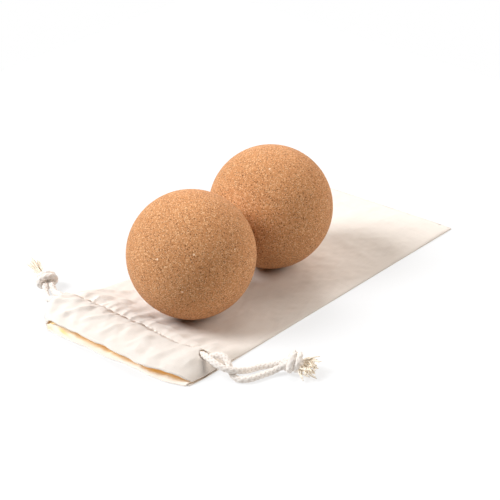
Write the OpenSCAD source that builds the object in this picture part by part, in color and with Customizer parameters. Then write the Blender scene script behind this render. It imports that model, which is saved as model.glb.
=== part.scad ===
// Two cork massage balls lying on their cotton drawstring pouch.
// Millimetres, +Z up, floor at Z 0. The origin is on the floor under the middle of the pouch.
// -Y is the pouch's mouth, +Y its sewn end. +X is the side of the knot that lies further out.

/* [Balls] */
// Diameter of each cork ball
ball_d = 65; // [50:1:80]
// Gap between the two balls
ball_gap = 0.6; // [0.3:0.1:5]
// Clearance between a ball and the cloth under it
ball_lift = 0.3; // [0.1:0.1:1]
// Front ball's place across the pouch
ball_x = 7; // [-15:0.5:15]
// Front ball's place along the pouch
ball_y = -50.5; // [-60:0.5:-40]
// Direction from the front ball to the back ball
ball_heading = 93.5; // [80:0.5:100]

/* [Pouch] */
// Length of the pouch, mouth to sewn end
pouch_length = 220; // [200:1:260]
// Width of the pouch at its sewn end
pouch_width = 105; // [100:1:130]
// How much further forward the sewn end's left corner lies than its right corner
end_skew = 7; // [0:0.5:12]
// Thickness of the cotton cloth
cloth_t = 0.5; // [0.3:0.05:0.8]
// Width of the seam allowance inside each sewn edge
seam_w = 5; // [3:0.5:8]

/* [Mouth] */
// How far the mouth's right corner is drawn back
mouth_skew = 8; // [0:0.5:12]
// Height of the open mouth
mouth_open = 4.3; // [4.1:0.1:8]
// Depth of the turned hem, mouth edge to stitch line
hem_depth = 28; // [20:1:35]
// Where the cords' channel starts, from the mouth edge
channel_from = 13.5; // [8:0.5:16]
// Where the cords' channel ends, from the mouth edge
channel_to = 23; // [20:0.5:26]
// How far the raised mouth runs down to the flat of the pouch
slope_end = 50; // [40:1:52]
// How square the raised mouth's cross-section is
fullness = 12; // [4:1:16]

/* [Drawcords] */
// Diameter of the braided cord
cord_d = 3.2; // [2:0.1:4]
// Diameter of each tied knot
knot_d = 11; // [8:0.5:14]
// Length of each tied knot along its cord
knot_l = 9; // [7:0.5:12]
// Length of each frayed end
fray_l = 10; // [5:0.5:15]
// Diameter of the sewing thread
thread_d = 0.4; // [0.2:0.05:0.6]

/* [Hidden] */
$fn = 96;

cork = [0.75, 0.53, 0.35];
cotton = [0.95, 0.91, 0.85];
braid = [0.93, 0.90, 0.86];

half_w = pouch_width / 2;
half_l = pouch_length / 2;
seam_z = cloth_t;
flat_z = 2 * cloth_t;
layer_gap = 0.1;
cord_room = cord_d + 2 * layer_gap;
lower_channel_z = cloth_t + cord_room;
upper_hem_z = lower_channel_z + cloth_t + layer_gap;
upper_channel_z = upper_hem_z + cloth_t + cord_room;
mouth_z = flat_z + mouth_open;
lower_cord_z = cloth_t + layer_gap + cord_d / 2;
upper_cord_z = upper_hem_z + cloth_t + layer_gap + cord_d / 2;
hem_reach = 0.1;
notch_w = 5.5;
notch_l = 10.5;

// The left edge waves where the cords draw the cloth in: [y, x] from the mouth to the sewn end.
left_edge = [
  [-110, -37], [-101, -47], [-93, -51.5], [-84, -51.5], [-71, -47.5], [-57, -43.5],
  [-46, -41.5], [-34, -42], [-15, -46], [15, -50.5], [50, -half_w], [half_l, -half_w]];
right_edge = [[-110, 50.8], [-100, 51.8], [-90, half_w], [half_l, half_w]];

// Heights of the raised layers' undersides, by distance q from the mouth edge.
upper_rise = [
  [0, mouth_z + cloth_t], [8, mouth_z + 1.5], [channel_from, upper_channel_z],
  [channel_to, upper_channel_z], [hem_depth - 0.5, mouth_z + 0.3], [hem_depth + 6, 4.6],
  [42, 2.6], [slope_end, flat_z], [pouch_length, flat_z]];
upper_hem_rise = [
  [0, mouth_z], [9, mouth_z], [channel_from, upper_hem_z], [channel_to, upper_hem_z],
  [hem_depth - 0.5, mouth_z - 0.2], [hem_depth, mouth_z - 0.2]];
lower_hem_rise = [
  [0, seam_z], [9, seam_z], [channel_from, lower_channel_z], [channel_to, lower_channel_z],
  [hem_depth - 1, seam_z], [hem_depth, seam_z]];

across = [0, 0.01, 0.03, 0.06, 0.1, 0.16, 0.25, 0.37, 0.5, 0.63, 0.75, 0.84, 0.9, 0.94, 0.97, 0.99, 1];
hem_across = [for (s = across) if (s >= hem_reach && s <= 1 - hem_reach) s];
hem_along = [0, 4, 9, channel_from, 18, channel_to, 25.5, hem_depth - 0.5, hem_depth];
raised_along = [31, 34, 38, 42, 46, slope_end, 58];
panel_along = concat(hem_along, raised_along, [90, 130, 175, pouch_length]);

// Cord routes. The channel runs are loops inside the hem that start and end at their own hole.
turn_r = (upper_cord_z - lower_cord_z) / 2;
turn_z = lower_cord_z + turn_r;
turn_x = 37;
right_channel = concat(
  [[35, -88.7, 6.7], [27, -89, 6.7], [18, -89, 6.7], [8, -89, 6.7]],
  [[-2, -89, 6.7], [-12, -89, 6.7], [-22, -89, 6.7], [-31, -89, 6.7]],
  [for (a = [0:45:180]) [-turn_x - turn_r * sin(a), -89, turn_z + turn_r * cos(a)]],
  [[-28, -89, 2.2], [-18, -89, 2.2], [-8, -89, 2.2], [2, -89, 2.2], [12, -89, 2.2], [22, -89, 2.2]],
  [[35, -89, 2.2]]);
left_channel = concat(
  [[-33, -93.2, 6.7], [-26, -93.2, 6.7], [-18, -93.2, 6.7]],
  [[-8, -93.2, 6.7], [2, -93.2, 6.7], [12, -93.2, 6.7], [22, -93.2, 6.7], [31, -93.2, 6.7]],
  [for (a = [0:45:180]) [turn_x + turn_r * sin(a), -93.2, turn_z + turn_r * cos(a)]],
  [[28, -93.2, 2.2], [18, -93.2, 2.2], [8, -93.2, 2.2], [-2, -93.2, 2.2], [-12, -93.2, 2.2]],
  [[-22, -93.2, 2.2], [-33, -93.2, 2.2]]);
right_a = [
  [35, -88.7, 6.7], [40.5, -86.2, 6.75], [45.6, -85.2, 7.9], [50.4, -86.4, 8.5], [55, -87.2, 8.1],
  [59.1, -86.8, 7.1], [62.4, -84.9, 6], [64.4, -81.9, 5], [65.2, -78.4, 3.7], [65.5, -74.8, 2.4],
  [66, -71.2, 1.75], [67.2, -67.8, 1.65], [69.4, -64.6, 1.8], [72.4, -61.9, 2.8], [76, -59.9, 4.1]];
right_b = [
  [35, -89, 2.2], [40.4, -88.9, 2.15], [44.4, -87.1, 3.3], [47.6, -83.9, 5.7], [51, -81.2, 7.8],
  [54.9, -80.2, 8.1], [58.3, -80.9, 6.4], [60.9, -82.2, 4], [63.5, -83.2, 2.3], [66.4, -83.1, 1.65],
  [69, -81.4, 1.65], [70.9, -78.6, 1.65], [72, -75.2, 1.65], [73, -71.6, 1.65], [74.2, -68.2, 1.8],
  [75.7, -65.1, 2.7], [77.5, -62.5, 4]];
left_a = [
  [-33, -93.2, 6.7], [-38.5, -93.1, 6.5], [-43.6, -92.8, 6.6], [-48.6, -92.9, 6.1], [-53, -92.3, 4.2],
  [-57.2, -89.9, 2.2], [-61.4, -86.8, 2.1], [-65.2, -83.8, 3.8]];
left_b = [
  [-33, -93.2, 2.2], [-38.2, -93.1, 2.15], [-42.4, -91.9, 2.8], [-46.2, -89.3, 4.5], [-50.4, -87, 5.2],
  [-54.8, -85.4, 3.6], [-59, -83.2, 2.4], [-63.5, -80.8, 3.8]];

right_knot_at = [80.7, -58.8];
right_knot_turn = 30;
left_knot_at = [-68.3, -79.9];
left_knot_turn = 150;
fray_spread = 16;

// Pouch surfaces: s runs 0 to 1 across, q runs from the mouth edge to the sewn end.
function mix(a, b, w) = a + (b - a) * w;
function mouth_y(s) = -half_l + mouth_skew * pow(max(0, 4 * s - 3), 1.5);
function end_y(s) = half_l - end_skew * (1 - s);
function row_y(s, q) =
  q <= 58 ? mouth_y(s) + q : mix(mouth_y(s) + 58, end_y(s), (q - 58) / (pouch_length - 58));
function row_x(s, y) = mix(lookup(y, left_edge), lookup(y, right_edge), s);
function pinch(s) = 1 - pow(abs(2 * s - 1), fullness);
function raised(s, q, rise, rest) =
  let (y = row_y(s, q)) [row_x(s, y), y, rest + (lookup(q, rise) - rest) * pinch(s)];
function edge_rest(q) = flat_z + cloth_t * max(0, min(1, (hem_depth + 6 - q) / 6));

upper_at = function (s, q) raised(s, q, upper_rise, edge_rest(q));
upper_hem_at = function (s, q) raised(s, q, upper_hem_rise, flat_z);
lower_hem_at = function (s, q) raised(s, q, lower_hem_rise, seam_z);

function unit(v) = v / norm(v);
function way(p, i) = unit(p[min(i + 1, len(p) - 1)] - p[max(i - 1, 0)]);

// One layer of cloth: a grid of places and the same grid one thickness higher.
module sheet(place, ss, qs) {
  n = len(ss);
  m = len(qs);
  low = [for (q = qs) for (s = ss) place(s, q)];
  high = [for (p = low) p + [0, 0, cloth_t]];
  rim = concat(
    [for (i = [0:n - 1]) i],
    [for (j = [1:m - 1]) j * n + n - 1],
    [for (i = [n - 2:-1:0]) (m - 1) * n + i],
    [for (j = [m - 2:-1:1]) j * n]);
  r = len(rim);
  cells = [for (j = [0:m - 2]) for (i = [0:n - 2]) j * n + i];
  polyhedron(concat(low, high), concat(
    [for (c = cells) each [[c, c + 1, c + n + 1], [c, c + n + 1, c + n]]],
    [for (c = cells) let (d = c + n * m) each [[d, d + n + 1, d + 1], [d, d + n, d + n + 1]]],
    [for (k = [0:r - 1]) let (a = rim[k], b = rim[(k + 1) % r])
      each [[a, a + n * m, b + n * m], [a, b + n * m, b]]]));
}

// A round cord swept through its route's points.
module tube(p, d, ref = [0, 0, 1], n = 8) {
  m = len(p);
  polyhedron(
    [for (i = [0:m - 1]) let (t = way(p, i), a = unit(cross(t, ref)), b = cross(a, t))
      for (k = [0:n - 1]) p[i] + d / 2 * (cos(360 * k / n) * a + sin(360 * k / n) * b)],
    concat(
      [for (i = [0:m - 2]) for (k = [0:n - 1]) let (a = i * n + k, b = i * n + (k + 1) % n)
        each [[a, b, b + n], [a, b + n, a + n]]],
      [[for (k = [n - 1:-1:0]) k]],
      [[for (k = [0:n - 1]) (m - 1) * n + k]]));
}

module ball(at) {
  translate([at[0], at[1], flat_z + cloth_t + ball_lift + ball_d / 2])
    color(cork) sphere(d = ball_d);
}

// A tied knot is a barrel round the cord's axis, lying on the floor.
module knot(at, turn) {
  bulge = 1.6;
  color(braid)
    translate([at[0], at[1], knot_d / 2])
      rotate([0, 90, turn])
        rotate_extrude()
          polygon(concat(
            [[0, -knot_l / 2]],
            [for (a = [-90:15:90]) [knot_d / 2 - bulge + bulge * cos(a), (knot_l / 2 - bulge) * sign(a) + bulge * sin(a)]],
            [[0, knot_l / 2]]));
}

// A frayed cord end leaves its knot and widens a little.
module fray(at, turn, side) {
  start = knot_l / 2;
  color(braid)
    translate([at[0], at[1], knot_d / 2 - 1])
      rotate([0, 0, turn])
        translate([start, side * 1.7, 0])
          rotate([0, 97, side * fray_spread])
            cylinder(h = fray_l, r1 = 1.4, r2 = 2.2);
}

// The hole that both ends of a drawcord leave through.
module cord_hole(x, y) {
  translate([x - notch_w / 2, y - notch_l / 2, flat_z + 1.5 * cloth_t])
    cube([notch_w, notch_l, 12]);
}

module ball_front() {
  ball([ball_x, ball_y]);
}

module ball_back() {
  ball([ball_x, ball_y] + (ball_d + ball_gap) * [cos(ball_heading), sin(ball_heading)]);
}

module lower_panel() {
  color(cotton)
    linear_extrude(cloth_t)
      polygon(concat(
        [for (s = across) let (p = upper_at(s, 0)) [p[0], p[1]]],
        [for (q = panel_along) if (q > 0) let (p = upper_at(1, q)) [p[0], p[1]]],
        [let (p = upper_at(0, pouch_length)) [p[0], p[1]]],
        [for (k = [len(panel_along) - 2:-1:1]) let (p = upper_at(0, panel_along[k])) [p[0], p[1]]]));
}

module upper_panel() {
  color(cotton)
    difference() {
      sheet(upper_at, across, panel_along);
      cord_hole(46, -83);
      cord_hole(-47.3, -89.4);
    }
}

module lower_hem() {
  color(cotton)
    sheet(lower_hem_at, hem_across, hem_along);
}

module upper_hem() {
  color(cotton)
    sheet(upper_hem_at, hem_across, hem_along);
}

module side_seam(s, inward) {
  rows = [for (q = panel_along) if (q > hem_depth) upper_at(s, q)];
  last = len(rows) - 1;
  color(cotton)
    translate([0, 0, seam_z])
      linear_extrude(cloth_t)
        polygon(concat(
          [for (k = [0:last - 1]) [rows[k][0] + 0.1 * inward, rows[k][1]]],
          [[rows[last][0] + 0.1 * inward, rows[last][1] - seam_w - 0.6]],
          [[rows[last][0] + seam_w * inward, rows[last][1] - seam_w - 0.6]],
          [for (k = [last - 1:-1:0]) [rows[k][0] + seam_w * inward, rows[k][1]]]));
}

module seam_right() {
  side_seam(1, -1);
}

module seam_left() {
  side_seam(0, 1);
}

module seam_bottom() {
  color(cotton)
    translate([0, 0, seam_z])
      linear_extrude(cloth_t)
        polygon([
          [-half_w + 0.1, end_y(0) - seam_w], [half_w - 0.1, end_y(1) - seam_w],
          [half_w - 0.1, end_y(1) - 0.1], [-half_w + 0.1, end_y(0) - 0.1]]);
}

module stitch_row(place) {
  color(cotton)
    tube([for (s = hem_across) place(s, hem_depth - 0.4) + [0, 0, cloth_t + 0.4 * thread_d]], thread_d, n = 6);
}

module stitch_upper() {
  stitch_row(upper_at);
}

module stitch_lower() {
  stitch_row(lower_hem_at);
}

module cord_right_channel() {
  color(braid) tube(right_channel, cord_d, [0, 1, 0]);
}

module cord_left_channel() {
  color(braid) tube(left_channel, cord_d, [0, 1, 0]);
}

module cord_right_a() {
  color(braid) tube(right_a, cord_d);
}

module cord_right_b() {
  color(braid) tube(right_b, cord_d);
}

module cord_left_a() {
  color(braid) tube(left_a, cord_d);
}

module cord_left_b() {
  color(braid) tube(left_b, cord_d);
}

module knot_right() {
  knot(right_knot_at, right_knot_turn);
}

module knot_left() {
  knot(left_knot_at, left_knot_turn);
}

module fray_right_a() {
  fray(right_knot_at, right_knot_turn, -1);
}

module fray_right_b() {
  fray(right_knot_at, right_knot_turn, 1);
}

module fray_left_a() {
  fray(left_knot_at, left_knot_turn, 1);
}

module fray_left_b() {
  fray(left_knot_at, left_knot_turn, -1);
}

ball_front();
ball_back();
lower_panel();
upper_panel();
lower_hem();
upper_hem();
seam_right();
seam_left();
seam_bottom();
stitch_upper();
stitch_lower();
cord_right_channel();
cord_left_channel();
cord_right_a();
cord_right_b();
cord_left_a();
cord_left_b();
knot_right();
knot_left();
fray_right_a();
fray_right_b();
fray_left_a();
fray_left_b();
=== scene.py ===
"""Looks for two cork massage balls on their cotton drawstring pouch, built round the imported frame."""

import math
import random

import bmesh
import bpy
import numpy as np
from bpy.props import FloatProperty, FloatVectorProperty, IntProperty, PointerProperty
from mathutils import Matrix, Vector
from mathutils.kdtree import KDTree


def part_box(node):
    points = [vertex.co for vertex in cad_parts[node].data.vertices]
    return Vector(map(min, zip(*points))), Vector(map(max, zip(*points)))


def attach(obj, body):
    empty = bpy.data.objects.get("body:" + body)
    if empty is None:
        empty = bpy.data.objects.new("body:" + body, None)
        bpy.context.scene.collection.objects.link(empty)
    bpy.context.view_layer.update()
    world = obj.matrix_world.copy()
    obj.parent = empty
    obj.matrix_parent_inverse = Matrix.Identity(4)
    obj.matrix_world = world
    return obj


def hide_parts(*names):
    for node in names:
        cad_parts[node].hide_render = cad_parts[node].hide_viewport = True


bl_info = {
    "name": "Cork massage balls on a drawstring pouch",
    "version": (1, 0, 0),
    "blender": (4, 5, 0),
    "location": "View3D > Sidebar > Massage balls",
    "description": "Builds the cork, cloth, cords and stage of a massage ball set round its fixed frame",
    "category": "Object",
}

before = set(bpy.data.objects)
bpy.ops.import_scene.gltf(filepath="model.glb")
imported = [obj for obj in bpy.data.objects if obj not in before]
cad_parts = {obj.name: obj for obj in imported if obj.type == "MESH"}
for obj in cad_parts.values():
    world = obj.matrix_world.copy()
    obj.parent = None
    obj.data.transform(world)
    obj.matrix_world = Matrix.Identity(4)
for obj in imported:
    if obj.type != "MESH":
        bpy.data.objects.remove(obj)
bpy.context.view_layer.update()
MM = 0.001


# ------------ sizes taken from the frame


def extent(node):
    """A node's lowest and highest corners, in millimetres."""
    low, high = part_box(node)
    return np.array(low) / MM, np.array(high) / MM


HALF_W, HALF_L, CLOTH = extent("lower_panel")[1]
RIDGE_TOP = extent("upper_panel")[1][2]
MOUTH_UNDER = extent("upper_hem")[1][2] - CLOTH
SEWN = 0.8 * CLOTH  # a layer's thickness, a little under the frame's, so that layers never touch
FLAT_TOP = 3 * CLOTH


# ------------ properties


def length(name, text, default):
    return FloatProperty(name=name, description=text, default=default, min=0, subtype="DISTANCE", unit="LENGTH")


def colour(name, text, default):
    return FloatVectorProperty(name=name, description=text, default=default, min=0, max=1, size=3, subtype="COLOR")


def share(name, text, default, top=1.0):
    return FloatProperty(name=name, description=text, default=default, min=0, max=top, subtype="FACTOR")


def angle(name, text, degrees):
    start = math.radians(degrees)
    return FloatProperty(name=name, description=text, default=start, subtype="ANGLE", unit="ROTATION")


def power(name, text, watts):
    return FloatProperty(name=name, description=text, default=watts, min=0, unit="POWER")


class BallLooks(bpy.types.PropertyGroup):
    grain: length("Granule size", "Distance between the centres of neighbouring cork granules", 0.00105)
    relief: length("Relief", "Depth of the seams between granules", 0.00005)
    pit: length("Pit depth", "Depth of the small open pores", 0.0002)
    dark: colour("Dark granules", "Colour of the darkest cork granules", (0.13, 0.045, 0.016))
    middle: colour("Cork", "Colour of most granules", (0.61, 0.272, 0.107))
    pale: colour("Pale granules", "Colour of the palest cork granules", (0.88, 0.60, 0.34))


class PouchLooks(bpy.types.PropertyGroup):
    cloth: colour("Cotton", "Colour of the unbleached cotton", (0.82, 0.757, 0.692))
    # glow is also the hue of the painted golden light and glow inside the mouth.
    glow: colour("Glow", "Colour of the light that comes through the cloth", (0.93, 0.66, 0.27))
    through: share("Translucency", "Share of the light that goes through the cloth", 0.12)
    gather: length("Gather height", "Height of the tallest gathers along the stitch row", 0.0010)
    puff: length("Puff height", "Height of the broad waves of the hem", 0.0008)
    crease: length("Crease height", "Height of the faint creases on the flat of the pouch", 0.00026)
    weave: length("Thread spacing", "Distance between neighbouring threads of the cloth", 0.00045)


class CordLooks(bpy.types.PropertyGroup):
    diameter: length("Cord diameter", "Diameter of the braided cord", 0.0032)
    tint: colour("Cord", "Colour of the braided cord", (0.80, 0.745, 0.695))
    braid: length("Braid relief", "Height of the braid's strands", 0.00017)
    pick: length("Braid repeat", "Length of one repeat of the braid", 0.0026)
    fray: length("Fray length", "Length of the longest frayed yarns", 0.0105)
    yarns: IntProperty(name="Yarns", description="Frayed yarns at each cord end", default=26, min=3, max=60)


class StageLooks(bpy.types.PropertyGroup):
    lens: FloatProperty(name="Lens", description="Focal length", default=130, unit="CAMERA")
    azimuth: angle("Azimuth", "Camera's direction, 0 in front", 41)
    elevation: angle("Elevation", "Camera's height angle", 28.5)
    distance: length("Distance", "From the camera to the point that it looks at", 0.9714)
    key: power("Key light", "Power of the main light", 33)
    top: power("Top", "Power of the soft light overhead", 6)
    back_left: power("Back left", "Power of the soft light behind, left", 12.5)
    back: power("Back", "Power of the soft light straight behind", 12)
    back_right: power("Back right", "Power of the soft light behind, right", 16.5)
    warm: colour("Warm light", "Colour of the soft lights behind", (1.0, 0.95, 0.90))
    fill: share("Fill", "Strength of the white surroundings", 0.02, 5)


LOOKS = {"ball_looks": BallLooks, "pouch_looks": PouchLooks, "cord_looks": CordLooks, "stage_looks": StageLooks}


# ------------ shader sums and finishes

# Light of a finish's own. Inside the mouth it is painted glow for the golden light that comes through the cloth.
# On the yarn it is painted glow that lifts the shaded sides of cords and knots. In the paper it keeps the floor
# evenly white.
MOUTH_PAINTED_GLOW, YARN_PAINTED_GLOW, PAPER_GLOW = 0.18, 0.07, 0.69


class Value:
    """A socket that takes part in sums: each sum adds its Math node."""

    def __init__(self, net, socket):
        self.net = net
        self.socket = socket

    def sum(self, operation, first, second=0.0):
        return self.net.node("ShaderNodeMath", {"operation": operation}, {0: first, 1: second})

    def __add__(self, other):
        return self.sum("ADD", self, other)

    def __radd__(self, other):
        return self.sum("ADD", other, self)

    def __sub__(self, other):
        return self.sum("SUBTRACT", self, other)

    def __rsub__(self, other):
        return self.sum("SUBTRACT", other, self)

    def __mul__(self, other):
        return self.sum("MULTIPLY", self, other)

    def __rmul__(self, other):
        return self.sum("MULTIPLY", other, self)

    def __gt__(self, other):
        return self.sum("GREATER_THAN", self, other)

    def __lt__(self, other):
        return self.sum("LESS_THAN", self, other)

    def sine(self):
        return self.sum("SINE", self)


class Tree:
    """A node tree, to which every node is added by node()."""

    def __init__(self, tree):
        self.tree = tree

    def node(self, kind, settings=None, values=None, output=0):
        made = self.tree.nodes.new(kind)
        for key, value in (settings or {}).items():
            if key == "stops":
                self.set_stops(made.color_ramp, value)
            else:
                setattr(made, key, value)
        for key, value in (values or {}).items():
            self.feed(made.inputs[key], value)
        return Value(self, made.outputs[output])

    def twin(self, value, output):
        """Another output of the node that a value comes from."""
        return Value(self, value.socket.node.outputs[output])

    def feed(self, socket, value):
        if isinstance(value, Value):
            self.tree.links.new(value.socket, socket)
        else:
            socket.default_value = value

    def set_stops(self, ramp, stops):
        while len(ramp.elements) < len(stops):
            ramp.elements.new(0.5)
        for element, (place, tint) in zip(ramp.elements, stops):
            element.position = place
            element.color = (*tint, 1) if hasattr(tint, "__len__") else (tint, tint, tint, 1)


class Net(Tree):
    """One material's nodes, with its Principled shader ready. Constants go straight onto the shader."""

    def __init__(self, name, constants):
        self.material = bpy.data.materials.new(name)
        self.material.use_nodes = True
        super().__init__(self.material.node_tree)
        self.shader = self.tree.nodes["Principled BSDF"]
        for socket, value in constants.items():
            self.shader.inputs[socket].default_value = value

    def places(self):
        return self.node("ShaderNodeTexCoord", output="Object")

    def vector(self, operation, first, second=None, scale=None):
        values = {0: first}
        if second is not None:
            values[1] = second
        if scale is not None:
            values["Scale"] = scale
        return self.node("ShaderNodeVectorMath", {"operation": operation}, values)

    def blend(self, factor, first, second, kind="MIX"):
        pair = [v if isinstance(v, Value) else (*v, 1) for v in (first, second)]
        settings = {"data_type": "RGBA", "blend_type": kind}
        return self.node("ShaderNodeMix", settings, {0: factor, 6: pair[0], 7: pair[1]}, 2)

    def noise(self, places, size, detail=2.0, rough=0.5, output="Fac"):
        values = {"Vector": places, "Scale": 1 / size, "Detail": detail, "Roughness": rough}
        return self.node("ShaderNodeTexNoise", None, values, output)

    def ramp(self, value, stops):
        return self.node("ShaderNodeValToRGB", {"stops": stops}, {"Fac": value})

    def finish(self, base, rough=None, height=None, depth=0.0, strength=1.0):
        self.feed(self.shader.inputs["Base Color"], base)
        if rough is not None:
            self.feed(self.shader.inputs["Roughness"], rough)
        if height is not None:
            values = {"Strength": strength, "Distance": depth, "Height": height}
            self.feed(self.shader.inputs["Normal"], self.node("ShaderNodeBump", None, values))
        return self.material


def scaled(tint, shares):
    """A colour with each of its channels scaled."""
    return [c * f for c, f in zip(tint, shares)]


def cork_material(looks):
    """Pressed cork: fine granules of several tones, dark pores and pale flecks."""
    net = Net("cork", {"Specular IOR Level": 0.12, "Sheen Weight": 0.04, "Sheen Roughness": 0.6})
    at = net.places()
    drift = net.vector("SUBTRACT", net.noise(at, 0.0009, 2, output="Color"), (0.5, 0.5, 0.5))
    warped = net.vector("ADD", at, net.vector("SCALE", drift, scale=0.0009))

    def grains(size, feature="F1", output="Distance"):
        settings = {"feature": feature}
        return net.node("ShaderNodeTexVoronoi", settings, {"Vector": warped, "Scale": 1 / size}, output)

    def tone_of(cells, part=0):
        return net.node("ShaderNodeSeparateColor", None, {0: net.twin(cells, "Color")}, part)

    coarse = grains(looks.grain)
    fine = grains(looks.grain * 0.5)
    seams = grains(looks.grain, "DISTANCE_TO_EDGE")
    tone = tone_of(coarse) * 0.18 + tone_of(fine) * 0.32 + net.noise(at, 0.00035, 3) * 0.50
    cloudy = net.noise(at, 0.015, 3)
    tint = net.ramp(
        tone + (cloudy - 0.5) * 0.22,
        [(0.14, scaled(looks.middle, [0.66] * 3)), (0.38, scaled(looks.middle, [0.88] * 3)),
         (0.58, looks.middle), (0.86, [0.5 * (a + b) for a, b in zip(looks.middle, looks.pale)])])
    tint = net.blend(0.6, tint, net.ramp(seams, [(0.0, 0.66), (0.08, 1.0)]), "MULTIPLY")

    flecks = (
        (0.00088, 0.70, 0.34, 0.76, looks.dark), (0.00068, 0.72, 0.38, 0.62, looks.dark),
        (0.00076, 0.70, 0.35, 0.62, looks.pale), (0.00062, 0.70, 0.40, 0.50, looks.pale),
        (0.0032, 0.96, 0.17, 0.85, (0.92, 0.70, 0.48)))
    for apart, rarity, spread, strength, fleck in flecks:
        cells = grains(apart)
        tint = net.blend((tone_of(cells, 1) > rarity) * (cells < spread) * strength, tint, fleck)
    rough = net.noise(at, 0.0015, 2) * 0.25 + 0.62
    height = net.node("ShaderNodeMath", {"operation": "MINIMUM"}, {0: seams * 9, 1: 1.0})
    return net.finish(tint, rough, height * 0.6 + net.noise(at, 0.0003, 2) * 0.6, 0.00012, 0.8)


def cotton_material(looks, name="cotton", golden=False):
    """Unbleached plain-weave cotton that lets some light through; the inner cloth gets painted golden light and a
    faint painted glow where it lies deep in the mouth.
    """
    lit = MOUTH_PAINTED_GLOW if golden else 0.0
    net = Net(name, {
        "Specular IOR Level": 0.15, "Sheen Weight": 0.2, "Sheen Roughness": 0.7, "Emission Strength": lit})
    at = net.places()
    split = net.node("ShaderNodeSeparateXYZ", None, {0: at})
    along, over = split, net.twin(split, 1)
    turn = math.pi / looks.weave
    weave = (along * turn).sine() * (over * turn).sine()
    warp = net.noise(net.vector("MULTIPLY", at, (1.0, 0.03, 1.0)), looks.weave * 1.3, 2)
    weft = net.noise(net.vector("MULTIPLY", at, (0.03, 1.0, 1.0)), looks.weave * 1.3, 2)
    slubs = warp * 0.5 + weft * 0.5
    shade = net.ramp(slubs, [(0.3, 0.93), (0.5, 1.0), (0.7, 1.0)])
    tint = net.blend(1.0, tuple(looks.cloth), shade, "MULTIPLY")
    tint = net.blend(net.noise(at, 0.03, 3) * 0.4, tint, scaled(looks.cloth, (0.97, 0.94, 0.90)))
    specks = net.node("ShaderNodeTexVoronoi", None, {"Vector": at, "Scale": 1 / 0.004})
    rare = net.node("ShaderNodeSeparateColor", None, {0: net.twin(specks, "Color")})
    tint = net.blend((rare > 0.95) * (specks < 0.06) * 0.4, tint, (0.52, 0.36, 0.20))
    # Painted golden light: the base colour turns golden by the share in the mesh's shade attribute, and the
    # emission paints a faint glow of the same hue.
    if golden:
        deep = net.node("ShaderNodeAttribute", {"attribute_name": "shade"}, output="Fac")
        tint = net.blend(deep, tint, tuple(looks.glow))
        painted_glow_colour = net.blend(deep, (0.85, 0.82, 0.77), scaled(looks.glow, [0.75] * 3))
        net.feed(net.shader.inputs["Emission Color"], painted_glow_colour)
    rough = slubs * 0.2 + 0.78
    net.finish(tint, rough, weave * 0.5 + slubs * 1.2, 0.00006, 0.7)
    leaf = net.node("ShaderNodeBsdfTranslucent", None, {"Color": (*looks.glow, 1)})
    front = Value(net, net.shader.outputs[0])
    mixed = net.node("ShaderNodeMixShader", None, {0: looks.through, 1: front, 2: leaf})
    net.feed(net.tree.nodes["Material Output"].inputs["Surface"], mixed)
    return net.material


def yarn_material(name, tint):
    """Soft cotton yarn with fine fibres, with painted shade in the grooves between the braid's strands and a faint
    painted glow.
    """
    net = Net(name, {
        "Specular IOR Level": 0.12, "Sheen Weight": 0.3, "Sheen Roughness": 0.6, "Emission Strength": YARN_PAINTED_GLOW})
    net.shader.inputs["Emission Color"].default_value = (*tint, 1)
    at = net.places()
    fibres = net.noise(net.vector("MULTIPLY", at, (1.0, 1.0, 0.35)), 0.00028, 3, 0.6)
    patches = net.noise(at, 0.002, 2)
    shade = net.ramp(fibres * 0.7 + patches * 0.3, [(0.3, 0.86), (0.55, 1.0)])
    base = net.blend(1.0, tint, shade, "MULTIPLY")
    base = net.blend(patches * 0.5, base, scaled(tint, (0.97, 0.91, 0.83)))
    # Painted shade: darker in the grooves that the mesh's shade attribute marks.
    hollow_shade_mask = net.node("ShaderNodeAttribute", {"attribute_name": "shade"}, output="Fac")
    base = net.blend(hollow_shade_mask, base, scaled(tint, (0.66, 0.57, 0.50)))
    return net.finish(base, fibres * 0.2 + 0.75, fibres, 0.00012, 0.8)


def floor_material():
    """A pale sweep of paper, bright enough to leave only faint shadows."""
    net = Net("paper_floor", {"Roughness": 0.9, "Specular IOR Level": 0.05, "Emission Strength": PAPER_GLOW})
    net.shader.inputs["Emission Color"].default_value = (1, 1, 1, 1)
    grain = net.noise(net.places(), 0.004, 2)
    return net.finish(net.ramp(grain, [(0.0, 0.235), (1.0, 0.245)]), height=grain, depth=0.00005, strength=0.2)


MATERIALS = {}


def material(name):
    """Each finish is made once, when the first piece asks for it."""
    scene = bpy.context.scene
    makers = {
        "cork": lambda: cork_material(scene.ball_looks),
        "cotton": lambda: cotton_material(scene.pouch_looks),
        "cotton_inside": lambda: cotton_material(scene.pouch_looks, "cotton_inside", True),
        "cord": lambda: yarn_material("cord", tuple(scene.cord_looks.tint)),
        "fray": lambda: yarn_material("fray", (0.86, 0.77, 0.64)),
        "thread": lambda: yarn_material("thread", (0.86, 0.80, 0.72)),
        "floor": floor_material,
    }
    if name not in MATERIALS:
        MATERIALS[name] = makers[name]()
    return MATERIALS[name]


# ------------ shapes

HOLLOW_SHADE_DEPTHS = (0.06, 0.30)  # mm below a cord's radius: where the painted shade in a groove starts and where it is darkest


def ease(value, start, end):
    """0 at the start and before, 1 at the end and past it, straight between."""
    return np.clip((value - start) / (end - start), 0, 1)


def bell(value, width):
    """A rounded hump, 1 high where the value is 0."""
    return np.exp(-((value / width) ** 2))


def unit(ways):
    """Each row scaled to length 1."""
    return ways / np.linalg.norm(ways, axis=-1, keepdims=True)


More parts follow.
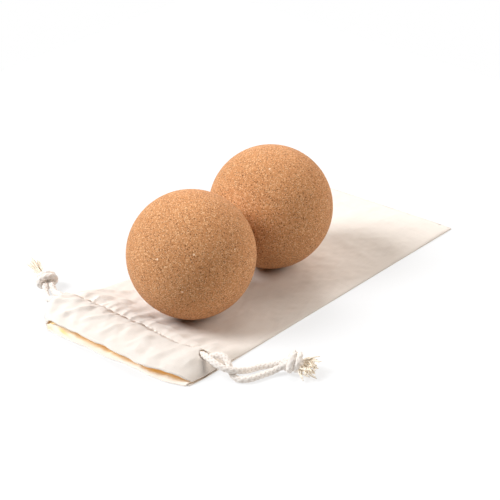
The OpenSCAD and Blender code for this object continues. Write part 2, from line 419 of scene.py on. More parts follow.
def smooth_through(points):
    """A function through the points that never swings past them."""
    xs, ys = np.array(points, float).T
    step = np.diff(xs)
    rise = np.diff(ys) / step
    slope = np.concatenate([[rise[0]], np.zeros(len(xs) - 2), [rise[-1]]])
    for i in range(1, len(xs) - 1):
        if rise[i - 1] * rise[i] > 0:
            a, b = 2 * step[i] + step[i - 1], step[i] + 2 * step[i - 1]
            slope[i] = (a + b) / (a / rise[i - 1] + b / rise[i])

    def at(x):
        x = np.clip(x, xs[0], xs[-1])
        i = np.clip(np.searchsorted(xs, x) - 1, 0, len(xs) - 2)
        t = (x - xs[i]) / step[i]
        flat = (1 + 2 * t) * (1 - t) ** 2 * ys[i] + t * t * (3 - 2 * t) * ys[i + 1]
        return flat + step[i] * (t * (1 - t) ** 2 * slope[i] - t * t * (1 - t) * slope[i + 1])

    return at


def waves(seed, short, long, count=26, stretch=1.0):
    """Smooth random waves over the floor plane, about -1 to 1, seeded."""
    draw = np.random.default_rng(seed)
    size = draw.uniform(short, long, count)
    way = draw.uniform(0, 2 * math.pi, count)
    start = draw.uniform(0, 2 * math.pi, count)
    kx, ky = 2 * math.pi * np.cos(way) / size, 2 * math.pi * np.sin(way) / (size * stretch)

    def at(x, y):
        total = sum(np.sin(a * x + b * y + c) for a, b, c in zip(kx, ky, start))
        return total / math.sqrt(count / 2) / 1.6

    return at


def make_mesh(name, points, faces, finish, shade=None):
    """A smooth piece from points in millimetres. shade is a number for each point that its finish reads: the share
    of painted golden light on the inner cloth, or of painted shade in a cord's grooves.
    """
    mesh = bpy.data.meshes.new(name)
    mesh.from_pydata((np.array(points) * MM).tolist(), [], faces)
    mesh.materials.append(material(finish))
    mesh.polygons.foreach_set("use_smooth", [True] * len(mesh.polygons))
    if shade is not None:
        mesh.attributes.new("shade", "FLOAT", "POINT").data.foreach_set("value", np.ravel(shade))
    piece = bpy.data.objects.new(name, mesh)
    bpy.context.scene.collection.objects.link(piece)
    return piece


def place_piece(piece, body, slot, *nodes):
    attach(piece, body)
    if nodes:
        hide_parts(*nodes)
    return piece


def cloth_sheet(name, points, finish, gone=None, shade=None):
    """A layer of cloth from a grid of points on its upper face."""
    rows, columns = points.shape[:2]
    index = np.arange(rows * columns).reshape(rows, columns)
    corners = np.stack([index[:-1, :-1], index[:-1, 1:], index[1:, 1:], index[1:, :-1]], -1).reshape(-1, 4)
    if gone is not None:
        middle = points.reshape(-1, 3)[corners].mean(1)
        corners = corners[~gone(middle[:, 0], middle[:, 1])]
    piece = make_mesh(name, points.reshape(-1, 3), corners.tolist(), finish, shade)
    thick = piece.modifiers.new("thickness", "SOLIDIFY")
    thick.thickness = SEWN * MM
    thick.offset = -1
    return piece


def gone_along(line):
    """How far along a line each of its points lies."""
    return np.concatenate([[0], np.cumsum(np.linalg.norm(np.diff(line, axis=0), axis=1))])


def route(points, step=0.25):
    """A smooth line through a route's points, with even steps, in millimetres."""
    p = np.array(points, float)
    p = np.vstack([2 * p[0] - p[1], p, 2 * p[-1] - p[-2]])
    t = np.linspace(0, 1, 24, endpoint=False)[:, None]
    runs = [
        0.5 * (2 * b + (c - a) * t + (2 * a - 5 * b + 4 * c - d) * t**2 + (3 * b - a - 3 * c + d) * t**3)
        for a, b, c, d in zip(p, p[1:], p[2:], p[3:])
    ]
    line = np.vstack(runs + [p[-2:-1]])
    for _ in range(3):
        line[1:-1] = (line[:-2] + 2 * line[1:-1] + line[2:]) / 4
    gone = gone_along(line)
    even = np.linspace(0, gone[-1], max(2, int(gone[-1] / step) + 1))
    return np.column_stack([np.interp(even, gone, line[:, k]) for k in range(3)])


def tube(line, radius, sides=20, relief=None):
    """Points, faces and painted groove shade of a tube along a line, without twist. relief(turn, gone) adds to the
    radius.
    """
    ways = unit(np.gradient(line, axis=0))
    side = unit(np.cross(ways[0], (0, 0, 1.0)))
    gone = gone_along(line)
    turn = np.linspace(0, 2 * math.pi, sides, endpoint=False)
    radii = radius if hasattr(radius, "__len__") else np.full(len(line), radius)
    points, hollow_shades = [], []
    for place, way, far, r in zip(line, ways, gone, radii):
        side = unit(side - way * side.dot(way))
        up = np.cross(side, way)
        rise = relief(turn, far) if relief else np.zeros(sides)
        points.append(place + (r + rise)[:, None] * (np.cos(turn)[:, None] * side + np.sin(turn)[:, None] * up))
        hollow_shades.append(ease(-rise, *HOLLOW_SHADE_DEPTHS))
    points = np.vstack(points)
    faces = []
    for i in range(len(line) - 1):
        for k in range(sides):
            a, b = i * sides + k, i * sides + (k + 1) % sides
            faces.append((a, a + sides, b + sides, b))
    faces.append(tuple(range(sides)))
    faces.append(tuple(reversed(range(len(points) - sides, len(points)))))
    return points, faces, np.concatenate(hollow_shades)


def join_tubes(tubes):
    points, faces, hollow_shades, count = [], [], [], 0
    for some, cells, hollow_shade in tubes:
        points.append(some)
        faces += [tuple(i + count for i in cell) for cell in cells]
        hollow_shades.append(hollow_shade)
        count += len(some)
    return np.vstack(points), faces, np.concatenate(hollow_shades)


def tube_piece(name, tubes, finish):
    points, faces, hollow_shades = join_tubes(tubes)
    return make_mesh(name, points, faces, finish, hollow_shades)


# ------------ the pouch's surfaces
# Every face is laid out over s, 0 to 1 from the left edge to the right one, and q, the distance from the mouth's
# edge in millimetres. Where q is below 0 the cloth turns down round the lip.

MOUTH_SKEW = 8.0  # how far the mouth's right corner is drawn back
END_SKEW = 7.0  # how far the sewn end's left corner is drawn forward
HEM = 27.5  # from the mouth's edge to the stitch row
RAISED = 58.0  # how far the pouch follows the mouth's slant
FULLNESS = 12  # how abruptly the raised cloth comes down at its sewn edges
GATHERED = 48.0  # how far the tucks reach to each side
SEAM = 5.0  # width of a seam allowance
HEM_LEFT = 0.86  # share of a hem's rectangle that is left where its ends are cut back for the cords
LIP = 0.62  # size of the bend in the upper panel's lip
PRESSED = 11.0  # how far round a ball the cloth is pressed flat
LEFT_EDGE = smooth_through([
    (-110, -37), (-101, -47), (-93, -51.5), (-84, -51.5), (-71, -47.5), (-57, -43.5),
    (-46, -41.5), (-34, -42), (-15, -46), (15, -50.5), (50, -HALF_W), (HALF_L, -HALF_W)])
RIGHT_EDGE = smooth_through([(-110, 50.8), (-100, 51.8), (-90, HALF_W), (HALF_L, HALF_W)])
UPPER_RISE = smooth_through([
    (0, MOUTH_UNDER + 2 * CLOTH), (8, MOUTH_UNDER + 2.2), (13.5, RIDGE_TOP - 0.2), (18, RIDGE_TOP),
    (22, RIDGE_TOP - 0.3), (HEM, MOUTH_UNDER + 0.6), (30.5, 6.0), (34, 5.2), (42, 3.0), (50, FLAT_TOP),
    (2 * HALF_L, FLAT_TOP)])
HEM_FLAT = FLAT_TOP - CLOTH
LOWER_HEM_RISE = smooth_through([
    (0, 2 * CLOTH), (9, 2 * CLOTH + 0.1), (13.5, 4.3), (23, 4.3), (HEM, 2 * CLOTH)])
UPPER_HEM_RISE = smooth_through([
    (0, MOUTH_UNDER + CLOTH), (9, MOUTH_UNDER + CLOTH), (13.5, 5.0), (23, 5.0), (HEM, MOUTH_UNDER)])
HOLES = [(46.8, -84.6, 2.6, 3.1), (-47.6, -89.9, 2.7, 4.8)]  # cord holes: centre x, y and half widths x, y
UPPER_ROWS = [(-1, 0, 0.125), (0, 15, 0.6), (15, 36, 0.38), (36, 58, 0.7), (58, 2 * HALF_L, 1.4)]
LOWER_ROWS = [(0, 30, 1.0), (30, 2 * HALF_L, 3.0)]
LOWER_HEM_ROWS = [(-1, 0, 0.125), (0, HEM, 0.5)]
UPPER_HEM_ROWS = [(0, HEM, 0.6)]


def mouth_y(s):
    return -HALF_L + MOUTH_SKEW * np.maximum(0, 4 * s - 3) ** 1.5


def end_y(s):
    return HALF_L - END_SKEW * (1 - s)


def setback(s):
    """How far the lower lip's edge draws back from a straight line."""
    return 1.8 * np.sin(math.pi * s) + 2.2 * bell(s - 0.72, 0.18)


def floor_place(s, q):
    """Where a point of the pouch lies in plan."""
    far = ease(q, RAISED, 2 * HALF_L)
    start = mouth_y(s)
    y = np.where(q <= RAISED, start + q, start + RAISED + (end_y(s) - start - RAISED) * far)
    return LEFT_EDGE(y) + (RIGHT_EDGE(y) - LEFT_EDGE(y)) * s, y


def edge_gap(s, q):
    """About how far a point lies from the nearest sewn edge, in millimetres."""
    return np.minimum(np.minimum(s, 1 - s) * 2 * HALF_W, np.maximum(2 * HALF_L - q, 0))


def pinched(s, fullness=FULLNESS):
    """1 across the pouch, falling to 0 at its sewn sides."""
    return 1 - np.abs(2 * s - 1) ** fullness


def turned_down(x, y, z, curl, bend):
    """A face's points, with the lip turned down through the angle curl round a bend."""
    return np.stack([x, y - bend * np.sin(curl), z - bend * (1 - np.cos(curl))], -1)


def ripples(x, seed, short, long, count=12):
    """Smooth random waves that change across the pouch only."""
    return waves(seed, short, long, count)(x, 0 * x)


def gathers(x, gap, tall):
    """Pinched tucks along the stitch row, steep on their right, strongest towards the left."""
    draw = random.Random(7)
    total = np.zeros_like(x)
    place = -GATHERED
    while place < GATHERED:
        tight = 1.0 if place < 12 else 0.55
        width = draw.uniform(1.2, 2.2) * (0.6 + 0.4 * tight)
        height = tall * draw.uniform(0.45, 1.0) * tight
        slant = draw.uniform(-0.1, 0.55)
        front, back = draw.uniform(3, 10), draw.uniform(2, 6)
        off = (x - place - slant * gap) / (1 + np.abs(gap) / 12)
        across = bell(off, np.where(off < 0, width, 0.42 * width))
        reach = np.where(gap < 0, front, back)
        along = ease(np.abs(gap), 0, 1.1) ** 1.5 * np.exp(-np.maximum(np.abs(gap) - 1.4, 0) / reach)
        total += height * along * across
        dome = draw.uniform(1.6, 2.8)
        before = ease(-gap, 0, 0.7) * np.exp(-np.maximum(-gap - 0.7, 0) / 3)
        total += 0.75 * height * bell(x - place + 1.5, dome) * before
        place += draw.uniform(3.6, 6.8) * (0.55 + 0.45 * tight)
    return total


def fold(x, y, start, end, width, height):
    """One long soft crease from start to end, which fades out at both."""
    (ax, ay), (bx, by) = start, end
    tail = 6
    long = math.hypot(bx - ax, by - ay)
    ux, uy = (bx - ax) / long, (by - ay) / long
    t = (x - ax) * ux + (y - ay) * uy
    off = -(x - ax) * uy + (y - ay) * ux
    fade = ease(t, 0, tail) * ease(t, long, long - tail)
    return height * fade * fade * (3 - 2 * fade) * bell(off, width)


# Creases: start and end in plan, half width, height.
FOLDS = [
    ((-44, -84), (-18, -64), 2.2, 1.5), ((-36, -80), (-12, -72), 1.5, 0.9), ((-49, -76), (-28, -56), 2.0, 1.1),
    ((-46, -100), (-28, -88), 1.5, 1.3), ((-34, -107), (-21, -88), 1.6, 1.4), ((-22, -105), (-8, -87), 1.6, 1.2),
    ((-6, -107), (2, -88), 1.7, 1.1), ((10, -107), (20, -89), 1.8, 1.0), ((29, -106), (36, -88), 2.0, 0.8),
    ((-14, -80), (2, -70), 1.4, 0.6), ((4, -79), (20, -72), 1.3, 0.45), ((44, -100), (49, -84), 1.4, 0.5),
    ((16, 34), (52, 46), 1.8, 0.15), ((8, 60), (50, 50), 2.2, 0.16), ((-20, 75), (30, 95), 2.6, 0.15),
    ((24, -34), (52, -24), 1.8, 0.16), ((28, -10), (50, 8), 2.2, 0.15), ((20, -62), (48, -48), 2.0, 0.2)]
MOUTH_FOLDS = [
    ((-41, -109), (-20, -103), 1.1, 3.0), ((3, -111), (7, -98), 0.9, 0.9), ((-24, -111), (-18, -99), 1.6, 0.7),
    ((24, -110), (21, -99), 1.4, 0.8), ((38, -108), (40, -98), 1.3, 0.6)]


def wobble(x):
    """How far the stitch row strays from a straight line."""
    return 0.6 * ripples(x, 3, 20, 60, 8)


def upper_face(s, q, looks):
    """The upper face of the upper panel."""
    curl = np.clip(-q, 0, None) * math.pi
    q = np.maximum(q, 0)
    x, y = floor_place(s, q)
    side_gap, gap = edge_gap(s, q), q - HEM + wobble(x)
    rest = FLAT_TOP - 0.35 * ease(q, 30, 40)
    corner = np.exp(-q / 9) * np.where(s < 0.5, 1.0, 0.0)
    pinch = pinched(s, FULLNESS + 60 * corner)
    z = rest + (UPPER_RISE(q) - rest) * pinch
    edge = ease(side_gap, 0, 7)
    hem = ease(q, 52, 34) * edge
    still = np.clip(q / 4, 0.15, 1)
    z = z + hem * still * gathers(x, gap, looks.gather / MM)
    puffs = 0.8 * (1 + waves(11, 7, 18, stretch=3.2)(x, y)) + 0.14 * (1 + waves(12, 4, 8, stretch=2.0)(x, y))
    z = z + hem * still * looks.puff / MM * puffs * np.clip(np.abs(gap) / 5, 0.1, 1)
    z = z - hem * 0.2 * (1 + ripples(x, 13, 2.5, 7)) * bell(gap, 0.7)
    for crease in FOLDS:
        z = z + edge * still * fold(x, y, *crease)
    under_balls = 1 - np.maximum(ball_shade(x, y, "ball_front"), ball_shade(x, y, "ball_back"))
    faint = waves(5, 12, 40, stretch=1.4)(x, y) + 0.45 * waves(6, 4, 10)(x, y)
    z = z + edge * under_balls * looks.crease / MM * np.maximum(0.7 + faint, 0)
    z = z - 0.35 * bell(side_gap, 0.8) * ease(q, 20, 40)
    y = y + np.exp(-q / 6) * (2.2 + 0.5 * ripples(x, 8, 6, 18))
    z = z + bell(q, 1.5) * edge * 0.3 * ripples(x, 9, 8, 24)
    x = x - 1.8 * corner * np.exp(-s / 0.03)
    return turned_down(x, y, z, curl, LIP * np.minimum(pinch * 2, 1))


def ball_shade(x, y, node):
    """1 where a ball presses on the cloth, fading to 0 round it."""
    low, high = extent(node)
    cx, cy = (low[:2] + high[:2]) / 2
    return bell(np.hypot(x - cx, y - cy), PRESSED)


def lower_face(s, q):
    """The upper face of the lower panel, which lies on the floor."""
    x, y = floor_place(s, q)
    return np.stack([x, y + (0.8 + setback(s)) * np.exp(-q / 3.5), CLOTH - 0.05 + 0 * x], -1)


def hem_share(s, q):
    """The hem ends further in along the cords' channel, to let the cords out."""
    end = 0.012 + 0.088 * ease(q, 9, 13)
    return end + (1 - 2 * end) * s


def lower_hem_face(s, q):
    """The lower hem's upper face, wrapped down round the lower panel's front edge."""
    curl = np.clip(-q, 0, None) * math.pi
    q = np.maximum(q, 0)
    s = hem_share(s, q)
    x, y = floor_place(s, q)
    rest = 2 * CLOTH
    z = rest + (LOWER_HEM_RISE(q) - rest) * pinched(s)
    inner = ease(q, 0, 3) * ease(q, 13, 8)
    z = z + inner * (0.32 * (1 + waves(21, 6, 18)(x, y)) + 0.12 * waves(23, 3, 6)(x, y))
    for ridge in MOUTH_FOLDS:
        z = z + inner * fold(x, y, *ridge)
    y = y + (setback(s) + 0.35 * ripples(x, 14, 9, 26)) * np.exp(-q / 4.5)
    return turned_down(x, y, z, curl, 0.5 * CLOTH + 0.2)


def lower_hem_painted_gold(s, q):
    """How much painted golden light the lower hem gets: deep in the mouth, at its left corner and in the tuck
    there, and less on the first mouth fold's ridge.
    """
    corner = 0.7 * bell(s, 0.035) * ease(q, 0, 0.8)
    tuck = bell(s - 0.12, 0.045) * ease(q - 18 * (0.15 - s), 0.7, 1.6)
    painted_gold = np.maximum(ease(q, 1.4, 5.9) ** 1.3, np.maximum(corner, tuck))
    x, y = floor_place(hem_share(s, q), q)
    return painted_gold * (1 - 0.9 * fold(x, y, *MOUTH_FOLDS[0][:3], 1.0))


def upper_hem_face(s, q, looks):
    """The upper hem's upper face, always clear below the upper panel."""
    s = hem_share(s, q)
    top = upper_face(s, q, looks)
    x, y = top[..., 0], top[..., 1]
    z = HEM_FLAT + (UPPER_HEM_RISE(q) - HEM_FLAT) * pinched(s)
    z = z + 0.25 * (1 + waves(22, 7, 20)(x, y)) * ease(q, 0, 3) * ease(q, 11, 7)
    z = np.minimum(z, top[..., 2] - SEWN - 0.12)
    return np.stack([x, y + 0.1, z], -1)


def upper_hem_painted_gold(s, q):
    """How much painted golden light the upper hem gets."""
    return np.maximum(ease(q, 0.5, 5.5), bell((s / 0.09) ** 2, 1))


def cut_hole(x, y):
    inside = np.zeros(np.shape(x), bool)
    for cx, cy, rx, ry in HOLES:
        inside |= ((x - cx) / rx) ** 2 + ((y - cy) / ry) ** 2 < 1
    return inside


def grid(columns, stops):
    """s and q over a grid whose rows are denser near the mouth."""
    s = 0.5 - 0.5 * np.cos(np.linspace(0, math.pi, columns))
    s = 0.35 * s + 0.65 * np.linspace(0, 1, columns)
    q = np.concatenate([np.arange(a, b, step) for a, b, step in stops] + [[stops[-1][1]]])
    return np.meshgrid(s, q)


# ------------ operators


class Build(bpy.types.Operator):
    """Shared by the builders: each undoes as one step"""

    bl_options = {"REGISTER", "UNDO"}


GROOVE = 0.35  # width of the groove between two granules
PORES, PORE_WIDTHS = 260, (0.35, 0.85)  # how many open pores a ball has, and their least and greatest width


class MASSAGE_OT_balls(Build):
    """Builds both cork balls, with their granules and pores as real relief"""

    bl_idname = "massage.balls"
    bl_label = "Cork balls"

    def execute(self, context):
        looks = context.scene.ball_looks
        for seed, (node, body) in enumerate((("ball_front", "front_ball"), ("ball_back", "back_ball")), 1):
            low, high = extent(node)
            piece = self.ball(node + "_cork", (low + high) / 2, (high[2] - low[2]) / 2, seed, looks)
            place_piece(piece, body, "cork", node)
        return {"FINISHED"}

    def ball(self, name, centre, radius, seed, looks):
        draw = np.random.default_rng(seed)
        mesh = bmesh.new()
        bmesh.ops.create_icosphere(mesh, subdivisions=7, radius=1)
        ways = unit(np.array([v.co[:] for v in mesh.verts]))
        faces = [[v.index for v in f.verts] for f in mesh.faces]
        mesh.free()

        def scattered(count):
            return unit(draw.normal(size=(count, 3)))

        grain = looks.grain / MM * 1.25
        centres = scattered(int(4 * math.pi * radius**2 / grain**2))
        tree = KDTree(len(centres))
        for i, spot in enumerate(centres):
            tree.insert(spot, i)
        tree.balance()
        level = draw.uniform(-1, 1, len(centres))
        depth = np.zeros(len(ways))
        for i, way in enumerate(ways):
            (_, a, near), (_, _, next_near) = tree.find_n(way, 2)
            seam = math.exp(-(((next_near - near) * radius / GROOVE) ** 2))
            depth[i] = looks.relief / MM * (0.5 * level[a] - 0.8 * seam)
        for spot in scattered(PORES):
            gap = np.linalg.norm(ways - spot, axis=1) * radius
            size = draw.uniform(*PORE_WIDTHS)
            depth -= looks.pit / MM * draw.uniform(0.4, 1) * bell(gap, size)
        top = 0.6 * looks.relief / MM
        return make_mesh(name, centre + ways * (radius - top + depth)[:, None], faces, "cork")


class MASSAGE_OT_pouch(Build):
    """Builds the pouch's two panels and the hems turned in at its mouth"""

    bl_idname = "massage.pouch"
    bl_label = "Pouch panels and hems"

    def execute(self, context):
        looks = context.scene.pouch_looks
        s, q = grid(250, UPPER_ROWS)
        upper = cloth_sheet("upper_panel_cloth", upper_face(s, q, looks), "cotton", cut_hole)
        s, q = grid(120, LOWER_ROWS)
        lower = cloth_sheet("lower_panel_cloth", lower_face(s, q), "cotton")
        s, q = grid(170, LOWER_HEM_ROWS)
        painted_gold = lower_hem_painted_gold(s, q)
        lower_hem = cloth_sheet("lower_hem_cloth", lower_hem_face(s, q), "cotton_inside", shade=painted_gold)
        s, q = grid(150, UPPER_HEM_ROWS)
        painted_gold = upper_hem_painted_gold(s, q)
        upper_hem = cloth_sheet("upper_hem_cloth", upper_hem_face(s, q, looks), "cotton_inside", shade=painted_gold)
        for piece in (upper, lower, lower_hem, upper_hem):
            place_piece(piece, "pouch", "cotton", piece.name.replace("_cloth", ""))
        wide, long, deep = 2 * HALF_W * MM, 2 * HALF_L * MM, HEM * MM
        area = HEM_LEFT * wide * deep
        return {"FINISHED"}


class MASSAGE_OT_seams(Build):
    """Builds the seam allowances inside the sewn edges"""

    bl_idname = "massage.seams"
    bl_label = "Seam allowances"

    def execute(self, context):
        for node, side in (("seam_right", 1), ("seam_left", -1)):
            q = np.arange(HEM + 2, 2 * HALF_L - 6, 2.0)
            gap, along = np.meshgrid(np.linspace(0.5, SEAM, 5), q)
            x, y = floor_place(np.full_like(gap, 1.0 if side > 0 else 0.0), along)
            self.strip(node, x - side * gap, y, waves(31 + side, 4, 9)(x, y), side)
        s, gap = np.meshgrid(np.linspace(0.06, 0.94, 60), np.linspace(0.6, SEAM, 5))
        x, y = floor_place(s, np.full_like(s, 2 * HALF_L))
        self.strip("seam_bottom", x, y - gap, waves(34, 4, 9)(x, y), -1)
        return {"FINISHED"}

    def strip(self, node, x, y, waviness, side):
        points = np.stack([x, y, 2 * CLOTH + 0.03 * waviness], -1)
        if side > 0:
            points = points[:, ::-1]
        piece = cloth_sheet(node + "_allowance", points, "cotton")
        place_piece(piece, "pouch", "cotton", node)


class MASSAGE_OT_stitches(Build):
    """Sews the two stitch rows that hold the hems, one short stitch at a time"""

    bl_idname = "massage.stitches"
    bl_label = "Stitch rows"

    def execute(self, context):
        looks = context.scene.pouch_looks
        for node in ("stitch_upper", "stitch_lower"):
            place_piece(self.row(node, looks), "pouch", "thread", node)
        return {"FINISHED"}

    def row(self, node, looks):
        first, last, pitch, stitch = 0.105, 0.89, 0.0275, 0.021
        half_turn = np.linspace(0, math.pi, 7)
        radius = 0.22 * np.sqrt(np.maximum(np.sin(np.linspace(0.12, math.pi - 0.12, 7)), 0.05))
        tubes = []
        for start in np.arange(first, last, pitch):
            s = np.linspace(start, start + stitch, 7)
            if node == "stitch_upper":
                x, _ = floor_place(s, np.full_like(s, HEM))
                line = upper_face(s, HEM - wobble(x), looks)
            else:
                line = lower_hem_face((s - 0.1) / 0.8, np.full_like(s, HEM - 0.3))
            line[:, 2] += 0.05 + 0.18 * np.sin(half_turn)
            tubes.append(tube(line, radius, 8))
        return tube_piece(node + "_thread", tubes, "thread")


# The free ends' routes, from inside the hem to the knot.
RIGHT_A = [
    (35, -88.7, 6.7), (40.5, -86.2, 6.75), (45.6, -85.2, 7.9), (50.4, -86.4, 8.5), (55, -87.2, 8.1),
    (59.1, -86.8, 7.1), (62.4, -84.9, 6), (64.4, -81.9, 5), (65.2, -78.4, 3.7), (65.5, -74.8, 2.4),
    (66, -71.2, 1.75), (67.2, -67.8, 1.65), (69.4, -64.6, 1.8), (72.4, -61.9, 2.8), (76, -59.9, 4.1)]
RIGHT_B = [
    (35, -89, 2.2), (40.4, -88.9, 2.15), (44.4, -87.1, 3.3), (47.6, -83.9, 5.7), (51, -81.2, 7.8),
    (54.9, -80.2, 8.1), (58.3, -80.9, 6.4), (60.9, -82.2, 4), (63.5, -83.2, 2.3), (66.4, -83.1, 1.65),
    (69, -81.4, 1.65), (70.9, -78.6, 1.65), (72, -75.2, 1.65), (73, -71.6, 1.65), (74.2, -68.2, 1.8),
    (75.7, -65.1, 2.7), (77.5, -62.5, 4)]
LEFT_A = [
    (-33, -93.2, 6.7), (-38.5, -93.1, 6.5), (-43.6, -92.8, 6.6), (-48.6, -92.9, 6.1), (-53, -92.3, 4.2),
    (-57.2, -89.9, 2.2), (-61.4, -86.8, 2.1), (-65.2, -83.8, 3.8)]
LEFT_B = [
    (-33, -93.2, 2.2), (-38.2, -93.1, 2.15), (-42.4, -91.9, 2.8), (-46.2, -89.3, 4.5), (-50.4, -87, 5.2),
    (-54.8, -85.4, 3.6), (-59, -83.2, 2.4), (-63.5, -80.8, 3.8)]
FREE_ENDS = {"cord_right_a": RIGHT_A, "cord_right_b": RIGHT_B, "cord_left_a": LEFT_A, "cord_left_b": LEFT_B}
# Each knot's centre and heading, its rings (place along the cord, half width, half height), the lean of the rings
# and the headings of its two frayed tips.
KNOTS = {
    "right": {
        "at": (80.7, -58.8, 5.8), "turn": 30, "rings": ((-1.55, 3.9, 4.2), (1.55, 3.5, 3.5)),
        "lean": 0.30, "ways": (8, 36)},
    "left": {
        "at": (-68.3, -79.9, 4.6), "turn": 150, "rings": ((-1.6, 4.4, 2.9), (1.7, 4.0, 2.7)),
        "lean": -0.12, "ways": (166, 156)}}


def braid(looks):
    """Relief of a round braid: strands cross in diamonds."""
    tall, repeat = looks.braid / MM, looks.pick / MM

    def relief(turn, gone):
        return tall * (np.cos(4 * turn) * math.cos(2 * math.pi * gone / repeat) - 0.3)

    return relief


def knot_place(side, local):
    """A knot's own coordinates, with X along the cord, turned and moved to where it lies."""
    centre, turn = KNOTS[side]["at"], KNOTS[side]["turn"]
    c, s = math.cos(math.radians(turn)), math.sin(math.radians(turn))
    x, y, z = np.array(local, float).T
    return np.column_stack([centre[0] + x * c - y * s, centre[1] + x * s + y * c, centre[2] + z])


class MASSAGE_OT_cords(Build):
    """Builds the braided drawcords: the runs inside the hem and the four free ends"""

    bl_idname = "massage.cords"
    bl_label = "Drawcords"

    def execute(self, context):
        looks = context.scene.cord_looks
        radius = looks.diameter / MM / 2
        for node in ("cord_right_channel", "cord_left_channel"):
            low, high = extent(node)
            _, y, mid = (low + high) / 2
            half = (high[2] - low[2]) / 2 - radius
            bend = 1 if node == "cord_left_channel" else -1
            far = (high[0] if bend > 0 else -low[0]) - radius - half
            near = -bend * ((-low[0] if bend > 0 else high[0]) - 0.2)
            turns = np.linspace(0, math.pi, 7)
            arc = [(bend * (far + half * math.sin(a)), y, mid + half * math.cos(a)) for a in turns]
            there, back = [(near, y, mid + half), (0, y, mid + half)], [(0, y, mid - half), (near, y, mid - half)]
            line = route(there + arc + back, 0.6)
            piece = tube_piece(node + "_braid", [tube(line, radius, 16, braid(looks))], "cord")
            place_piece(piece, "pouch", "cord", node)
        for node, points in FREE_ENDS.items():
            line = route(points)
            piece = tube_piece(node + "_braid", [tube(line, radius, 28, braid(looks))], "cord")
            place_piece(piece, "pouch", "cord", node)
        return {"FINISHED"}


class MASSAGE_OT_knots(Build):
    """Ties the two overhand knots from the doubled cord"""

    bl_idname = "massage.knots"
    bl_label = "Knots"

    def execute(self, context):
        looks = context.scene.cord_looks
        radius = looks.diameter / MM / 2
        for side, knot in KNOTS.items():
            tubes = []
            for place, wide, tall in knot["rings"]:
                turn = np.linspace(-0.75 * math.pi, 1.75 * math.pi, 60)
                tuck = 1 - 0.55 * np.clip((np.abs(turn - 0.5 * math.pi) - 0.95 * math.pi) / (0.3 * math.pi), 0, 1)
                up = tuck * tall * np.sin(turn)
                x = place + 0.9 * (turn - 0.5 * math.pi) / math.pi + knot["lean"] * up
                ring = np.column_stack([x, tuck * wide * np.cos(turn), up])
                tubes.append(tube(route(knot_place(side, ring)[::3]), radius * 1.06, 28, braid(looks)))
            for y in (-1.55, 1.55):
                core = [(-4.9, y, -1.5), (-2.5, y, -0.7), (0, y, -0.2), (2.5, y, -0.5), (4.4, y, -1.0)]
                tubes.append(tube(route(knot_place(side, core)), radius, 24, braid(looks)))
            # The knots get half the painted groove shade.
            tubes = [(points, faces, 0.5 * hollow_shade) for points, faces, hollow_shade in tubes]
            piece = tube_piece(f"knot_{side}_cord", tubes, "cord")
            place_piece(piece, "pouch", "cord", "knot_" + side)
        return {"FINISHED"}


FLOOR_GAP = 0.4  # the lowest that a yarn's middle line lies


class MASSAGE_OT_frays(Build):
    """Combs out the frayed yarns at the four cord ends"""

    bl_idname = "massage.frays"
    bl_label = "Frayed ends"

    def execute(self, context):
        looks = context.scene.cord_looks
        for side, knot in KNOTS.items():
            for end, way in zip("ab", knot["ways"]):
                draw = random.Random(f"{side}{end}")
                y = (0.7 if side == "left" else 1.3) * (1 if way > knot["turn"] else -1)
                root = knot_place(side, [(3.2, y, -0.7)])[0]
                comb = self.brush if side == "left" else self.curls
                tubes = [comb(root, way, looks, draw) for _ in range(looks.yarns)]
                node = f"fray_{side}_{end}"
                place_piece(tube_piece(node + "_yarns", tubes, "fray"), "pouch", "cord", node)
        return {"FINISHED"}

    def brush(self, root, way, looks, draw):
        """A yarn of a compact brush: nearly straight, leaning up."""
        long = looks.fray / MM * draw.uniform(0.95, 1.2)
        return self.yarn(root, way + draw.gauss(0, 12), draw.uniform(4, 34), long, 0.3, (0.34, 0.46), draw)

    def curls(self, root, way, looks, draw):
        """A yarn of an open fan: curly, and falling to the floor."""
        long = looks.fray / MM * draw.uniform(0.62, 0.88)
        return self.yarn(root, way + draw.uniform(-48, 34), draw.uniform(-20, 14), long, 1.1, (0.34, 0.48), draw)

    def yarn(self, root, way, climb, long, curl, girth, draw):
        a, b = math.radians(way), math.radians(climb)
        start = root + np.array([draw.uniform(-1.0, 1.0) for _ in range(3)])
        swing, lift, phase = draw.gauss(0, curl), draw.gauss(0, curl), draw.uniform(0, 6)
        points = []
        for t in np.linspace(0, 1, 8):
            r = long * t
            aside = curl * (0.7 * math.sin(phase + 5 * t) - 0.7 * math.sin(phase)) + swing * t * t
            rise = 0.5 * lift * t + 0.4 * curl * math.sin(phase + 4 * t) * t - 0.7 * t * t
            points.append((
                start[0] + math.cos(a) * r - math.sin(a) * aside,
                start[1] + math.sin(a) * r + math.cos(a) * aside,
                max(start[2] + math.sin(b) * r + rise, FLOOR_GAP)))
        line = route(points, 0.7)
        taper = np.linspace(1, 0.6, len(line)) * draw.uniform(*girth)
        return tube(line, taper, 6)


AIM = Vector((-0.0154, 0.0197, 0))
SENSOR = 36
FLOOR_HALF, FLOOR_DROP = 300.0, 0.15
# Each light's width and distance in metres, and its heading and height in degrees.
LIGHTS = {
    "key": (0.75, 1.6, 229, 42), "top": (1.0, 1.6, 110, 64), "back_left": (1.5, 1.8, 142, 22),
    "back": (1.5, 1.8, 90, 30), "back_right": (1.1, 1.8, 26, 38)}
TINTS = {"key": (0.97, 1.0, 1.04), "top": (1, 1, 1)}


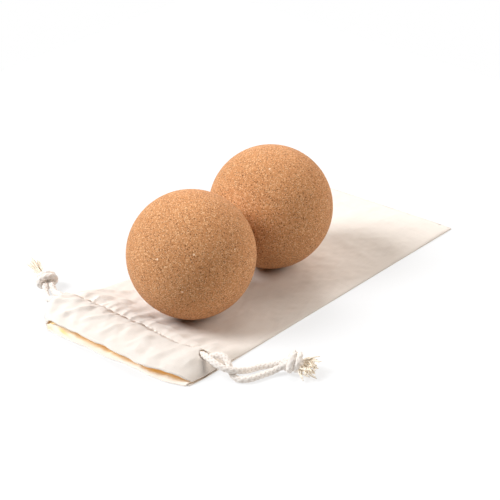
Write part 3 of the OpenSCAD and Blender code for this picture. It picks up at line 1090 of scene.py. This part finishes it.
class MASSAGE_OT_stage(Build):
    """Lays the pale floor, hangs the soft light and sets the camera"""

    bl_idname = "massage.stage"
    bl_label = "Stage"

    def execute(self, context):
        looks = context.scene.stage_looks
        corners = [(x * FLOOR_HALF, y * FLOOR_HALF, -FLOOR_DROP) for x, y in ((-1, -1), (1, -1), (1, 1), (-1, 1))]
        make_mesh("paper_floor", corners, [(0, 1, 2, 3)], "floor")
        for name, place in LIGHTS.items():
            self.light(name, getattr(looks, name), TINTS.get(name, looks.warm), *place)
        self.surroundings(context.scene, looks.fill)
        self.camera(context.scene, looks)
        context.scene.view_settings.view_transform = "Standard"
        return {"FINISHED"}

    def light(self, name, watts, tint, size, distance, heading, height):
        lamp = bpy.data.lights.new(name, "AREA")
        lamp.shape = "DISK"
        lamp.energy = watts
        lamp.size = size
        lamp.color = tint
        h, e = math.radians(heading), math.radians(height)
        way = Vector((math.cos(h) * math.cos(e), math.sin(h) * math.cos(e), math.sin(e)))
        hung = bpy.data.objects.new(name, lamp)
        hung.location = way * distance
        hung.rotation_mode = "QUATERNION"
        hung.rotation_quaternion = way.to_track_quat("Z", "Y")
        bpy.context.scene.collection.objects.link(hung)

    def surroundings(self, scene, fill):
        world = bpy.data.worlds.new("white_room")
        scene.world = world
        world.use_nodes = True
        sky = Tree(world.node_tree)
        background = sky.tree.nodes["Background"]
        background.inputs["Color"].default_value = (1, 1, 1, 1)
        seen = sky.node("ShaderNodeLightPath", output="Is Camera Ray")
        strength = sky.node("ShaderNodeMapRange", None, {"Value": seen, "To Min": fill, "To Max": 1.0})
        sky.feed(background.inputs["Strength"], strength)

    def camera(self, scene, looks):
        a, e = looks.azimuth, looks.elevation
        back = Vector((math.sin(a) * math.cos(e), -math.cos(a) * math.cos(e), math.sin(e)))
        data = bpy.data.cameras.new("camera")
        data.lens = looks.lens
        data.sensor_width = SENSOR
        camera = bpy.data.objects.new("camera", data)
        camera.location = AIM + back * looks.distance
        camera.rotation_mode = "QUATERNION"
        camera.rotation_quaternion = back.to_track_quat("Z", "Y")
        scene.collection.objects.link(camera)
        scene.camera = camera


BUILDERS = (
    MASSAGE_OT_balls, MASSAGE_OT_seams, MASSAGE_OT_stitches, MASSAGE_OT_pouch,
    MASSAGE_OT_knots, MASSAGE_OT_frays, MASSAGE_OT_cords, MASSAGE_OT_stage)


class MASSAGE_PT_panel(bpy.types.Panel):
    """Lists the builders and what they can be told"""

    bl_idname = "MASSAGE_PT_panel"
    bl_label = "Massage balls"
    bl_space_type = "VIEW_3D"
    bl_region_type = "UI"
    bl_category = "Massage balls"

    def draw(self, context):
        for builder in BUILDERS:
            self.layout.operator(builder.bl_idname)
        for group, looks in LOOKS.items():
            box = self.layout.box()
            for name in looks.__annotations__:
                box.prop(getattr(context.scene, group), name)


CLASSES = (*LOOKS.values(), *BUILDERS, MASSAGE_PT_panel)


def register():
    for item in CLASSES:
        bpy.utils.register_class(item)
    for group, looks in LOOKS.items():
        setattr(bpy.types.Scene, group, PointerProperty(type=looks))


def unregister():
    for group in LOOKS:
        delattr(bpy.types.Scene, group)
    for item in reversed(CLASSES):
        bpy.utils.unregister_class(item)


def main():
    register()
    for builder in BUILDERS:
        family, name = builder.bl_idname.split(".")
        getattr(getattr(bpy.ops, family), name)()


if __name__ == "__main__":
    main()
